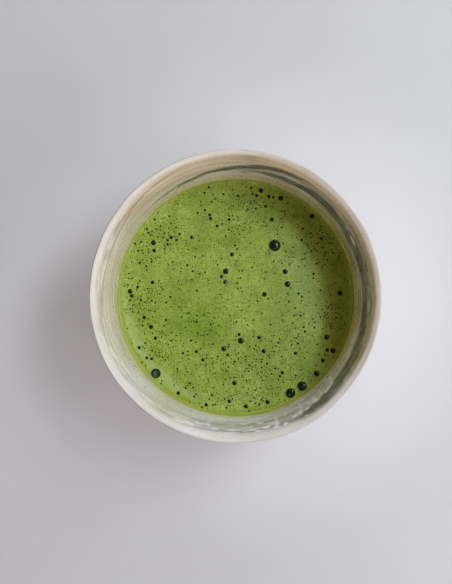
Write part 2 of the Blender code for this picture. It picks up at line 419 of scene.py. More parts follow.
def table_material():
    g = Graph("pale_table")
    p = g.place_mm()
    n = g.noise(p, 0.02, 4.0, 0.6)
    shade_falloff_distance = g.add("ShaderNodeVectorMath", {0: g.vec("MULTIPLY", p, (1, 1, 0))}, operation="LENGTH").outputs["Value"]
    colour = g.ramp(n, [(0.3, (0.800, 0.789, 0.822)), (0.7, (0.826, 0.815, 0.848))])
    # painted shade: the table darkens by 15% between 70 and 150 mm from the bowl's axis, standing in for the light's
    # falloff
    colour = g.mix(g.remap(shade_falloff_distance, 70.0, 150.0, 0.0, 1.0, "SMOOTHERSTEP"), colour, g.mix(1.0, colour, (0.85, 0.85, 0.85), "MULTIPLY"))
    return g.finish(Base_Color=colour, Roughness=0.55, IOR=1.35)


GLAZE, CLAY, FOAM, LIQ, FILM, SPECK, TABLE = (
    glaze_material(),
    clay_material(),
    froth_material(),
    liquid_material(),
    film_material(),
    speck_material(),
    table_material(),
)

# --------------------------------------------------------------------------- the bowl

INSIDE = through(
    [(0.0, 12.6), (14.0, 12.9), (27.0, 14.3), (38.0, 18.2), (46.4, 24.9), (51.4, 33.2), (53.7, 41.0), (54.7, 53.0), (55.4, 64.7)], 24
)
LIP = through(
    [
        (55.4, 64.7), (55.8, 67.5), (56.3, 69.6), (56.9, 71.3), (57.5, 72.6), (58.15, 73.65), (58.85, 74.5), (59.5, 74.9), (59.8, 74.94),
        (60.05, 74.75), (60.2, 74.15), (60.25, 73.2), (60.22, 71.0),
    ],
    12,
)
OUTSIDE = through(
    [(60.22, 71.0), (59.9, 62.0), (59.5, 51.5), (58.6, 40.5), (56.3, 29.6), (51.7, 20.2), (44.5, 13.2), (36.3, 9.3), (28.4, 7.4)], 24
)
UNDER = through([(28.4, 7.4), (24.0, 7.34), (12.0, 7.36), (0.0, 7.5)], 12)


def wall_radius(z):
    """The inner wall's radius at a height."""
    return float(np.interp(z, INSIDE[:, 1], INSIDE[:, 0]))


def oval(theta, z, low, high):
    """The thrown wall is a little out of round: narrower along X than along Y, more so towards the lip, which also has a flat and a bulge."""
    deg = np.mod(np.degrees(theta), 360.0)
    flat = 0.42 * np.exp(-(((deg - 42.0) / 22.0) ** 2))
    bulge = 0.50 * np.exp(-(((deg - 298.0) / 17.0) ** 2))
    return (-0.15 - 0.15 * np.cos(2 * theta)) * ss(low, high, z) + (bulge - flat) * ss(54.0, 72.5, z)


def stroke(t, z, stations, soft=1.2):
    """A brush stroke along the wall: stations of (degrees clockwise, lowest z, highest z, strength). 1 where it's strongest."""
    s = np.array(stations, float)
    lo, hi = np.interp(t, s[:, 0], s[:, 1]), np.interp(t, s[:, 0], s[:, 2])
    k = np.interp(t, s[:, 0], s[:, 3], left=0, right=0)
    return k * ss(-soft, soft, z - lo) * ss(-soft, soft, hi - z)


# The dark strokes inside, where the brush swept the slip thin, in degrees clockwise from the hairline's start at bearing 142
UPPER_STROKE = [
    (0, 50.2, 50.8, 0.0), (4, 50.2, 51.2, 0.5), (12, 51.0, 53.2, 0.75), (22, 51.8, 55.4, 0.85), (32, 53.6, 57.8, 0.85), (42, 56.2, 61.0, 0.9),
    (52, 59.2, 64.2, 0.95), (62, 63.0, 68.3, 0.9), (72, 66.2, 70.4, 0.8), (82, 68.6, 71.2, 0.6), (92, 70.3, 71.5, 0.3), (102, 71.0, 71.6, 0.0),
]
LOWER_STROKE = [
    (54, 52.8, 56.2, 0.0), (55, 52.8, 56.4, 0.7), (62, 54.6, 57.8, 0.72), (68, 54.8, 59.4, 0.72), (71, 53.4, 60.4, 0.85), (76, 53.3, 61.4, 0.85),
    (79, 54.5, 62.0, 0.72), (87, 55.2, 65.6, 0.76), (95, 55.2, 67.0, 0.76), (102, 54.8, 69.2, 0.88), (106, 55.4, 69.6, 0.66), (112, 55.0, 70.5, 0.68),
    (118, 55.2, 70.8, 0.62), (123, 56.8, 71.0, 0.68), (129, 57.6, 71.2, 0.86), (134, 58.4, 71.2, 0.72), (140, 58.6, 71.4, 0.86), (147, 59.0, 71.6, 0.82),
    (152, 59.5, 71.8, 0.78), (160, 60.5, 72.0, 0.82), (168, 61.4, 72.4, 0.82), (175, 61.4, 72.8, 0.82), (182, 62.2, 73.2, 0.92), (187, 64.0, 73.4, 0.98),
    (193, 66.2, 73.6, 0.95), (202, 68.4, 73.4, 0.78), (207, 69.6, 72.0, 0.6), (213, 70.2, 72.0, 0.35), (219, 70.8, 71.8, 0.0),
]
BETWEEN = [(54, 56.5, 61.0, 0.0), (60, 57.0, 64.0, 0.40), (75, 60.0, 67.5, 0.42), (88, 62.0, 69.0, 0.35), (98, 64.0, 70.0, 0.0)]
GROOVE = [
    (-43, 65.2, 66.2, 0.0), (-33, 65.4, 66.6, 0.5), (-20, 65.9, 67.0, 0.75), (-12, 66.9, 68.0, 0.9), (-4, 68.9, 69.9, 0.95), (4, 70.3, 71.2, 1.0),
    (14, 71.6, 72.4, 1.0), (24, 72.2, 73.0, 0.8), (32, 72.6, 73.2, 0.0),
]
# Thick touches of slip: bearing, height, half length in degrees, half height, strength
TOUCHES = [
    (128.5, 72.0, 0.5, 0.4, 0.7), (130.2, 72.4, 0.5, 0.4, 0.7), (131.5, 71.5, 0.5, 0.4, 0.6), (144, 73.0, 3.0, 0.5, 0.5), (157, 71.6, 4.0, 0.6, 0.8),
    (157, 69.8, 2.5, 0.6, 0.6), (167, 69.2, 2.2, 0.9, 1.0), (170, 70.0, 3.0, 0.5, 0.7), (175, 72.2, 4.0, 0.5, 0.8), (174.5, 70.2, 2.5, 0.5, 0.6),
    (187.5, 68.4, 2.5, 0.6, 0.7), (193, 69.8, 3.5, 0.5, 0.6), (199, 73.0, 3.0, 0.5, 0.6), (205, 70.8, 2.5, 0.8, 0.7), (208.5, 69.3, 2.0, 0.6, 0.7),
    (211, 67.2, 1.0, 1.6, 0.6), (214, 67.5, 1.5, 1.0, 0.7), (213, 71.0, 3.0, 0.5, 0.5), (222, 72.5, 4.0, 0.5, 0.6), (229, 70.0, 3.0, 0.5, 0.7),
    (232, 71.0, 3.0, 0.5, 0.5), (236, 67.5, 2.0, 0.8, 0.5), (246, 71.3, 2.6, 0.8, 0.75), (250, 70.4, 2.6, 0.8, 0.75), (243, 67.0, 2.0, 0.9, 0.5),
    (247, 65.0, 2.0, 0.8, 0.4), (254, 66.3, 1.5, 1.3, 0.8), (257, 65.5, 1.2, 1.2, 0.8), (258.4, 63.5, 0.7, 3.2, 0.8), (261.3, 68.5, 1.3, 0.9, 0.9),
    (264, 72.3, 3.0, 0.5, 0.4), (268.5, 68.2, 1.8, 1.0, 1.0), (271, 68.0, 1.5, 0.9, 0.9), (268, 71.3, 3.0, 0.5, 0.5), (274, 66.3, 1.5, 1.0, 0.85),
    (276.7, 65.6, 0.8, 1.3, 0.8), (275, 69.9, 2.0, 0.6, 0.6), (277.5, 69.3, 1.5, 0.7, 0.7), (279.5, 70.9, 1.3, 0.9, 0.8), (266, 61.8, 3.0, 0.8, 0.5),
    (269, 60.3, 2.0, 0.7, 0.4), (274, 58.9, 1.6, 1.3, 0.8), (276.7, 57.2, 1.0, 1.8, 0.7), (281, 60.6, 1.2, 2.0, 0.95), (283.3, 69.0, 1.5, 0.8, 0.7),
    (285.5, 66.0, 1.3, 1.6, 0.7), (288, 66.5, 0.8, 2.8, 0.8), (288.3, 60.0, 0.7, 3.5, 0.5), (287.5, 70.6, 1.2, 0.9, 0.8), (291.5, 70.8, 1.0, 0.9, 0.7),
    (296.5, 67.3, 1.3, 1.0, 0.8), (299.3, 66.5, 0.8, 1.9, 0.9), (302.5, 67.3, 1.2, 0.9, 0.7), (300.5, 58.5, 0.6, 4.0, 0.5), (304.5, 59.5, 1.0, 2.0, 0.4),
    (307.3, 62.0, 1.1, 2.6, 0.8), (307.5, 57.5, 0.6, 2.0, 0.5), (311.5, 57.0, 0.6, 4.0, 0.5), (308, 66.8, 2.0, 0.8, 0.5), (314.0, 65.4, 1.2, 1.2, 0.8),
    (315.8, 63.8, 1.0, 1.4, 0.8), (318, 60.0, 0.7, 4.5, 0.5), (319, 53.5, 0.8, 4.0, 0.6), (317, 46.5, 0.8, 2.5, 0.5), (321.5, 46.5, 0.5, 2.6, 0.5),
    (293, 59.5, 0.6, 2.0, 0.4), (300.7, 53.0, 0.6, 2.0, 0.5), (303, 49.5, 1.5, 1.0, 0.5), (309, 50.0, 2.0, 0.8, 0.4), (25, 64.0, 2.6, 1.5, 0.45),
    (31, 66.0, 1.5, 1.5, 0.35), (333, 57.0, 1.0, 3.0, 0.4), (340, 55.0, 1.5, 3.0, 0.35),
]
PALE_LINES = [
    [(-118, 57.8, 59.2, 0.0), (-108, 57.4, 58.8, 0.45), (-96, 56.4, 57.8, 0.4), (-90, 56.0, 57.0, 0.0)],
    [(-125, 57.0, 58.4, 0.0), (-133, 53.6, 55.0, 0.4), (-143, 49.8, 51.2, 0.45), (-153, 47.6, 49.0, 0.45), (-163, 45.4, 46.8, 0.4), (-170, 45.0, 46.0, 0.0)],
]


def inner_slip(theta, z):
    """The slip inside, at an angle and a height: its thickness (0 bare ground, 1 full), how tan it is, and a painted
    bluish reflection of the sky.
    """
    deg = np.mod(np.degrees(theta), 360.0)
    t = np.mod(142.0 - deg + 60.0, 360.0) - 60.0  # -60..300, 0 at the hairline's start
    c, s = np.cos(theta), np.sin(theta)
    wobble = fbm(np.stack([c * 3, s * 3, z * 0.3], 1), 3, 5)
    streak = fbm(np.stack([c * 2.2, s * 2.2, z * 0.55], 1), 2, 11)
    mottle = fbm(np.stack([c * 14, s * 14, z * 0.35], 1), 3, 13)
    zz = z + 0.55 * wobble + 0.35 * mottle + 0.7 * ss(50, 72, z)

    left = ss(-92, -70, t) * (1 - ss(-12, 8, t)) + ss(262, 285, t)  # bearings 150 to 235
    left = np.clip(left, 0, 1)
    top = ss(-8, 8, t) * (1 - ss(40, 60, t))
    right = ss(40, 60, t) * (1 - ss(165, 185, t))
    bottom = ss(165, 185, t) * (1 - ss(240, 275, t))

    cover = 0.84 + 0.09 * wobble + 0.10 * streak
    # left: a smooth white belt, a thinner brushed band over it, and tea-stained slip under it
    cover += left * (0.10 * ss(57, 62, z) * (1 - ss(65.5, 67.5, zz)) - 0.05 * ss(66.0, 67.5, zz) * (1 - ss(72.2, 73.4, z)) + 0.05 * streak)
    # top: even and smooth over the stroke
    cover += top * 0.03
    # right: thinner, in long bands
    cover += right * (-0.12 + 0.20 * streak)
    between = right * ss(56, 58, z) * (1 - ss(66, 69, z))
    cover -= 0.12 * between
    # bottom: a thin grey ground under bristle lines
    tall = ss(44.5, 48.5, z) * (1 - ss(72.2, 73.4, zz))
    cover -= bottom * tall * (0.17 - 0.16 * streak)
    cover -= 0.08 * ss(240, 262, t) * (1 - ss(290, 310, t)) * tall * (0.5 + streak)
    soft = 0.75 + 0.45 * mottle
    cloudy = fbm(np.stack([c * 7, s * 7, z * 0.5], 1), 3, 19)
    cover -= 0.66 * stroke(t, zz, UPPER_STROKE, 1.0) * np.clip(soft + 0.25 + 0.5 * cloudy, 0.3, 1.15)
    cover -= 0.66 * stroke(t, zz + 0.7 * cloudy, LOWER_STROKE, 1.7) * np.clip(soft + 0.08 + 0.6 * streak + 0.7 * cloudy, 0.15, 1.15)
    cover -= 0.22 * stroke(t, zz, BETWEEN, 1.5) * np.clip(0.9 + streak + cloudy, 0.3, 1.4)
    # the ground is darker where the strokes run out at the bottom, and low on the right wall
    belt = ss(57, 60, zz) * (1 - ss(71.0, 72.6, zz))
    cover -= 0.13 * ss(172, 190, t) * (1 - ss(240, 268, t)) * belt
    cover -= 0.20 * ss(84, 98, t) * (1 - ss(124, 138, t)) * ss(43.5, 45.5, z) * (1 - ss(54.5, 58.0, z)) * (0.8 + 0.9 * streak)
    cover += 0.11 * ss(308, 322, deg) * (1 - ss(338, 350, deg)) * (1 - ss(48.0, 52.0, z))
    cover -= 0.07 * (ss(335, 350, deg) + 1 - ss(12, 28, deg)) * ss(46.0, 49.0, z) * (1 - ss(66.0, 70.0, z))
    cover += 0.08 * ss(222, 236, deg) * (1 - ss(256, 272, deg)) * (1 - ss(60.0, 64.0, z))
    cover += (0.15 * ss(200, 225, t) * (1 - ss(285, 300, t)) + 0.06 * left) * (1 - ss(59.0, 63.0, zz))
    shelf = ss(115, 138, deg) * (1 - ss(184, 200, deg)) * ss(-0.5, 1.0, zz - np.interp(deg, [115, 130, 150, 165, 200], [72.0, 71.3, 68.6, 66.9, 66.6])) * (1 - ss(72.2, 73.2, zz))
    cover -= 0.05 * shelf
    groove = stroke(t, zz, GROOVE, 0.5)
    cover -= 0.22 * groove
    for line in PALE_LINES:
        u = [(q[0] + 360, *q[1:]) for q in line][:: 1 if line[0][0] < line[-1][0] else -1]
        cover += 0.35 * stroke(np.where(t < 0, t + 360, t), zz, u, 0.8)
    marks = np.zeros(theta.size)
    rng = np.random.default_rng(21)
    for bearing, height, long, tall_mm, strength in TOUCHES:
        long, tall_mm, strength, height = 1.15 * long, 1.2 * tall_mm, min(1.0, 1.25 * strength), height - 0.7 * float(ss(50, 72, height))
        near = np.nonzero((np.abs(np.mod(deg - bearing + 180, 360) - 180) < long * 1.5) & (np.abs(z - height) < tall_mm * 1.8))[0]
        d = np.mod(deg[near] - bearing + 180, 360) - 180
        u = np.abs(d) / long
        v = np.abs(z[near] - height + 0.10 * d + 0.25 * wobble[near]) / tall_mm
        marks[near] = np.maximum(marks[near], strength * (1 - ss(0.35, 1.25, u)) * (1 - ss(0.35, 1.3, v)))
    # more of the same, small and faint, scattered over the bottom and the left
    for _ in range(150):
        bearing, height = rng.uniform(150, 335), rng.uniform(50, 72.5)
        long, tall_mm, strength = rng.uniform(0.5, 1.8), rng.uniform(0.35, 0.9), rng.uniform(0.12, 0.42)
        near = np.nonzero((np.abs(deg - bearing) < long * 1.4) & (np.abs(z - height) < tall_mm * 1.6))[0]
        u, v = np.abs(deg[near] - bearing) / long, np.abs(z[near] - height) / tall_mm
        marks[near] = np.maximum(marks[near], strength * (1 - ss(0.3, 1.25, u)) * (1 - ss(0.3, 1.3, v)))
    cover = cover + marks * np.maximum(1.18 - cover, 0)
    # the lip is whole again
    lip = ss(72.6, 74.0, z)
    cover = cover * (1 - lip) + lip * (0.93 + 0.04 * wobble - 0.10 * ss(278, 300, deg) * (1 - ss(325, 350, deg)) - 0.08 * ss(74.2, 74.9, z))

    warm = top * ss(57, 61, z) * 0.72 + 0.30 * ss(112, 128, deg) * (1 - ss(172, 196, deg)) * ss(44, 47, z) * (1 - ss(62, 68, z)) + right * ss(66.5, 70.5, zz) * 0.95 + right * (1 - ss(50, 58, z)) * 0.30 + 0.10 * wobble
    warm += 0.35 * shelf + ss(128, 150, t) * (1 - ss(178, 200, t)) * 0.35
    warm = warm * (1 - 0.92 * ss(72.4, 74.7, z)) + 0.60 * groove
    low_right = ss(215, 250, deg) + 1 - ss(20, 50, deg)
    # painted reflection: a bluish tint for the sky reflected on the bottom wall, the lower left, between the right
    # strokes and along the lower-right lip
    painted_sky_reflection = np.clip(bottom * (1 - 0.55 * ss(296, 322, deg) * (1 - ss(56, 62, z))) + 0.5 * ss(205, 235, deg) * left, 0, 1) * ss(43.5, 49.0, z) * (1 - ss(72.2, 73.4, zz)) + 0.45 * left * ss(200, 225, deg) * ss(47, 52, z) + 0.35 * right * between + 0.45 * low_right * ss(71.5, 73.5, z)
    return np.clip(cover, 0.0, 1.1), np.clip(warm, 0, 1), np.clip(painted_sky_reflection, 0, 1)


def outer_slip(theta, z):
    """Outside: broad sweeps of the slip brush, climbing slowly, with bristle gaps, ending at the hip."""
    uv = np.stack([np.cos(theta) * 1.6, np.sin(theta) * 1.6, z * 0.16], 1)
    big = fbm(uv, 3, 31)
    mid = fbm(np.stack([np.cos(theta) * 2.2, np.sin(theta) * 2.2, z * 0.75 + 0.6 * np.sin(theta)], 1), 3, 41)
    climb = z + 3.2 * np.sin(theta + 0.6)
    sweep = 0.5 + 0.5 * np.sin(2 * math.pi * climb / 19.0 + 0.9 * big)
    cover = 0.72 + 0.20 * big + 0.24 * mid - 0.34 * ss(0.72, 0.98, sweep)
    cover = cover * (0.35 + 0.65 * ss(13, 24, z + 4.0 * big))
    top = ss(69.5, 73.0, z)
    deg = np.mod(np.degrees(theta), 360)
    # painted shade: a dark line on the outer lip, strongest on the upper left, where the outer wall turns away from the
    # light
    lip_shade_line = 0.10 + 0.72 * ss(92, 112, deg) * (1 - ss(160, 185, deg)) + 0.40 * ss(160, 185, deg) * (1 - ss(232, 262, deg))
    return np.clip(cover * (1 - top) + (0.90 - lip_shade_line * (1 - ss(74.78, 74.93, z))) * top, 0.03, 1.1)


def build_bowl():
    parts = [
        (INSIDE, lambda r, z: 4.0 if z < 34 else (1.2 if z < 40 else 0.48)),
        (LIP, lambda r, z: 0.40),
        (OUTSIDE, lambda r, z: 1.2),
        (UNDER, lambda r, z: 2.5),
    ]
    pts, zone = [], []
    for k, (curve, spacing) in enumerate(parts):
        q, _ = along(curve, spacing)
        if k:
            q = q[1:]
        pts.append(q)
        zone += [k] * len(q)
    profile = np.vstack(pts)
    profile[0, 0] = 0.0
    profile[-1, 0] = 0.0
    zone = np.array(zone)
    arc = np.concatenate([[0], np.cumsum(np.hypot(*np.diff(profile, axis=0).T))])
    turns = 500
    crest = arc[int(np.argmax(profile[:, 1]))]

    def move(T, I):
        shape = T.shape
        t, i = T.ravel(), I.ravel()
        z, r, zn = profile[i, 1], profile[i, 0], zone[i]
        c, s = np.cos(t), np.sin(t)
        out = np.zeros(t.size)
        # throwing rings: a spiral of about 4 mm pitch inside and 6 mm outside, never quite even
        drift = fbm(np.stack([c * 1.2, s * 1.2, z * 0.09], 1), 2, 3)
        ring_in = np.sin(2 * math.pi * z / 4.1 + t + 1.6 * drift)
        ring_out = np.sin(2 * math.pi * z / 6.3 - t + 1.9 * drift)
        inner = arc[i] <= crest
        free = np.where(inner, ss(43.5, 48.0, z), 1.0)
        up_to_lip = 1 - ss(69.5, 73.5, z)
        out += np.where(inner, free * up_to_lip * (0.10 * ring_in + 0.05 * drift), 0)
        out += np.where(zn == 2, (0.17 * ring_out + 0.13 * drift) * ss(9.5, 14, z) * (1 - ss(67, 70.8, z)) - 0.12 * (1 - ss(67, 70.8, z)), 0)
        # the slip's own thickness and bristle ridges
        hair = vnoise(np.stack([c * 4, s * 4, arc[i] * 1.3], 1), 8)
        out += np.where(inner, free * up_to_lip * 0.035 * hair, 0)
        out += np.where(zn == 2, 0.035 * hair * ss(12, 18, z) * (1 - ss(67, 70.8, z)), 0)
        # the lip is a shade wavy in height and roundness
        wave = 0.5 * np.sin(2 * t + 0.7) + 0.3 * np.sin(3 * t + 2.0) + 0.2 * np.sin(5 * t)
        out += np.where(zn == 1, ss(72.0, 74.5, z) * (0.05 * wave - 0.05), 0)
        # trimming facets over the hip
        out += np.where(zn == 2, (1 - ss(17, 24, z)) * ss(8.2, 11, z) * 0.06 * np.sin(2 * math.pi * arc[i] / 2.6 + 2 * t), 0)
        return out.reshape(shape)

    def spread(T, I):
        t, z = T, profile[I, 1]
        return np.where(zone[I] <= 1, oval(t, z, 44.0, 72.0), np.where(zone[I] == 2, oval(t, z, 18.0, 72.0), 0.0))

    verts, faces, theta, ring = lathe(profile, turns, move, spread=spread)
    z, zn = profile[ring, 1], zone[ring]
    inside = (arc[ring] <= crest).astype(float)
    slip, warm, painted_sky_reflection = inner_slip(theta, z)
    outer = outer_slip(theta, z)
    slip = np.where(inside > 0.5, slip, outer)
    slip = np.where(zn == 3, 0.05, slip)
    warm = np.where(inside > 0.5, warm, 0.25 + 0.3 * fbm(np.stack([np.cos(theta) * 2, np.sin(theta) * 2, z * 0.05], 1), 2, 71))
    # the film of tea on the wall: a wash that reaches highest on the left, and a dense line just over the froth
    deg = np.mod(np.degrees(theta), 360)
    drip = fbm(np.stack([np.cos(theta) * 9, np.sin(theta) * 9, z * 0.04], 1), 3, 77)
    fringe = vnoise(np.stack([np.cos(theta) * 21, np.sin(theta) * 21, z * 0.05], 1), 78)
    high = 53.0 + 7.0 * (1 - ss(40, 70, deg) + ss(310, 335, deg)) + 6.5 * ss(140, 165, deg) * (1 - ss(212, 232, deg)) - 5.5 * ss(225, 245, deg) * (1 - ss(318, 335, deg)) + 3.0 * drip
    weight = 0.36 + 0.16 * (ss(50, 100, deg) - ss(130, 165, deg)) + 0.52 * (1 - ss(40, 80, deg) + ss(305, 330, deg))
    film = inside * (weight * (1 + 0.35 * fringe) * (1 - ss(0, 1, (z - 41.5) / (high - 41.5)))  + 0.12 * (1 - ss(41.5, 46.0, z)))
    tide = inside * (0.70 + 0.25 * fringe) * (1 - ss(41.0, 44.6, z + 1.6 * drip + 0.9 * fringe))
    glaze_line = 11.2 + 1.3 * fbm(np.stack([np.cos(theta) * 2.5, np.sin(theta) * 2.5, theta * 0], 1), 3, 55)
    bare = np.where(zn == 2, 1 - ss(-0.5, 0.5, z - glaze_line), 0) + np.where(zn == 3, 1.0, 0)
    obj = make_object(
        "bowl_thrown_body", verts, faces, {"slip": slip, "film": film, "warm": warm, "painted_sky_reflection": painted_sky_reflection * inside, "tide": np.clip(tide, 0, 1), "bare": bare, "arc": arc[ring]}
    )
    obj.data.materials.append(GLAZE)
    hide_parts("bowl_body")
    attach(obj, "bowl")
    return obj


def build_foot():
    outline = through(
        [(27.9, 7.28), (27.5, 5.6), (27.15, 3.6), (26.95, 1.2), (26.6, 0.35), (26.0, 0.02), (24.5, 0.0), (23.1, 0.02), (22.4, 0.35), (22.05, 1.1), (21.7, 3.6), (21.2, 6.2), (20.9, 7.28)],
        8,
    )
    outline[:, 1] = np.maximum(outline[:, 1], 0.004)
    profile, arc = along(outline[::-1], lambda r, z: 0.5)
    # close across the top, under the body
    top = np.stack([np.linspace(27.9, 20.9, 8)[1:-1], np.full(6, 7.28)], 1)
    profile = np.vstack([profile, top])
    arc = np.concatenate([[0], np.cumsum(np.hypot(*np.diff(profile, axis=0).T))])

    def move(T, I):
        shape = T.shape
        t, i = T.ravel(), I.ravel()
        r, z = profile[i, 0], profile[i, 1]
        c, s = np.cos(t), np.sin(t)
        n = fbm(np.stack([c * 9, s * 9, arc[i] * 0.45], 1), 3, 91)
        chatter = np.sin(2 * math.pi * arc[i] / 1.9 + 2 * t)
        free = ss(0.25, 1.4, z) * (1 - ss(6.0, 7.0, z))
        return (free * (0.09 * n + 0.03 * chatter)).reshape(shape)

    verts, faces, theta, ring = lathe(profile, 240, move, loop=True)
    obj = make_object("foot_ring_turned", verts, faces, {"arc": arc[ring]})
    obj.data.materials.append(CLAY)
    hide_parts("foot_ring")
    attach(obj, "bowl")
    return obj


# --------------------------------------------------------------------------- the tea

BIG = [
    (29.7, 52.7, 2.6), (50.3, 223.8, 2.19), (50.3, 299.8, 2.19), (50.6, 306.8, 2.15), (20.1, 277.3, 1.37), (12.6, 110.2, 1.33),
    (24.6, 13.9, 1.33), (50.8, 316.8, 1.28), (25.6, 27.0, 1.19), (50.0, 65.3, 1.19), (45.4, 336.3, 1.19), (45.1, 146.4, 1.19),
]
# Smaller bubbles seen one by one: x, y, radius
SEEN = [
    (47.8, 1.5, 1.15), (35.2, 37.1, 1.15), (-5.7, -24.1, 1.05), (44.5, -24.9, 1.05), (13.1, 1.0, 1.0), (-49.0, 2.4, 1.0),
    (11.5, 49.1, 0.92), (14.4, -48.5, 0.92), (4.5, -50.5, 0.92), (-0.8, -39.9, 0.92), (-39.3, -14.1, 0.92), (16.6, 35.6, 0.87),
    (12.7, -25.2, 0.87), (-48.2, 0.3, 0.83), (-1.9, 19.4, 0.83), (-5.0, 6.7, 0.83), (39.9, -29.4, 0.83), (10.6, -18.9, 0.78),
    (-37.9, 21.3, 0.78), (-20.5, 27.4, 0.78), (-42.5, -9.7, 0.78), (-38.7, 6.5, 0.78), (-26.6, -44.5, 0.78), (-30.1, 27.4, 0.73),
    (41.9, -24.6, 0.73), (-15.3, -29.2, 0.73), (-3.2, -48.2, 0.73), (-13.8, -49.8, 0.73), (15.2, 46.4, 0.69), (9.7, 46.8, 0.69),
    (-6.7, 9.2, 0.69), (27.3, -26.1, 0.69), (21.2, -35.1, 0.69), (-37.3, -19.3, 0.69), (-44.7, -23.6, 0.69), (-11.7, 36.2, 0.64),
    (1.4, -17.6, 0.64), (-18.3, -25.4, 0.64), (39.4, 26.6, 0.64), (-45.5, 4.4, 0.64), (-41.2, -28.3, 0.64), (-39.0, -28.7, 0.64),
    (13.7, 41.8, 0.6), (-8.8, 32.7, 0.6), (-3.2, 35.7, 0.6), (0.9, 46.7, 0.6), (-3.9, -26.8, 0.6), (-12.2, 37.9, 0.6),
    (-26.2, 28.9, 0.55), (-27.6, 26.2, 0.55), (-31.7, 26.1, 0.55), (-31.7, 24.2, 0.55), (-32.4, -10.8, 0.55), (17.3, 46.0, 0.55),
    (35.8, 10.4, 0.5), (28.8, 1.4, 0.5), (30.4, 26.1, 0.5), (-12.7, 50.7, 0.46), (-14.6, 48.2, 0.46), (-5.8, 47.5, 0.46),
    (-11.4, 44.0, 0.46), (-14.5, 40.1, 0.46), (-17.9, 38.8, 0.46), (-6.5, 33.6, 0.46), (-37.8, 35.8, 0.46), (-41.3, 31.4, 0.46),
    (-40.6, 29.6, 0.46), (-44.0, 25.3, 0.46), (-45.4, 21.2, 0.46), (-39.1, 16.2, 0.46), (-44.6, 15.6, 0.46), (-41.5, 14.1, 0.46),
    (-22.6, 14.5, 0.46), (-20.0, 11.7, 0.46), (-30.3, -0.2, 0.46), (-49.1, -1.8, 0.46), (-44.0, -1.6, 0.46), (-18.3, -11.7, 0.46),
    (-20.8, -20.4, 0.46), (-24.5, -26.1, 0.46), (-11.1, -45.4, 0.46), (-21.4, -40.0, 0.46), (-23.2, -42.1, 0.46), (-19.1, -46.1, 0.46),
    (-4.4, -51.1, 0.42), (-15.7, -51.0, 0.42),
]
EDGE_TURNS = 360


def swell(r, edge):
    """How far the surface climbs towards the wall."""
    d = np.maximum(edge - r, 0)
    return 0.38 * np.exp(-d / 2.6) + 0.27 * np.exp(-((d / 0.55) ** 1.2))


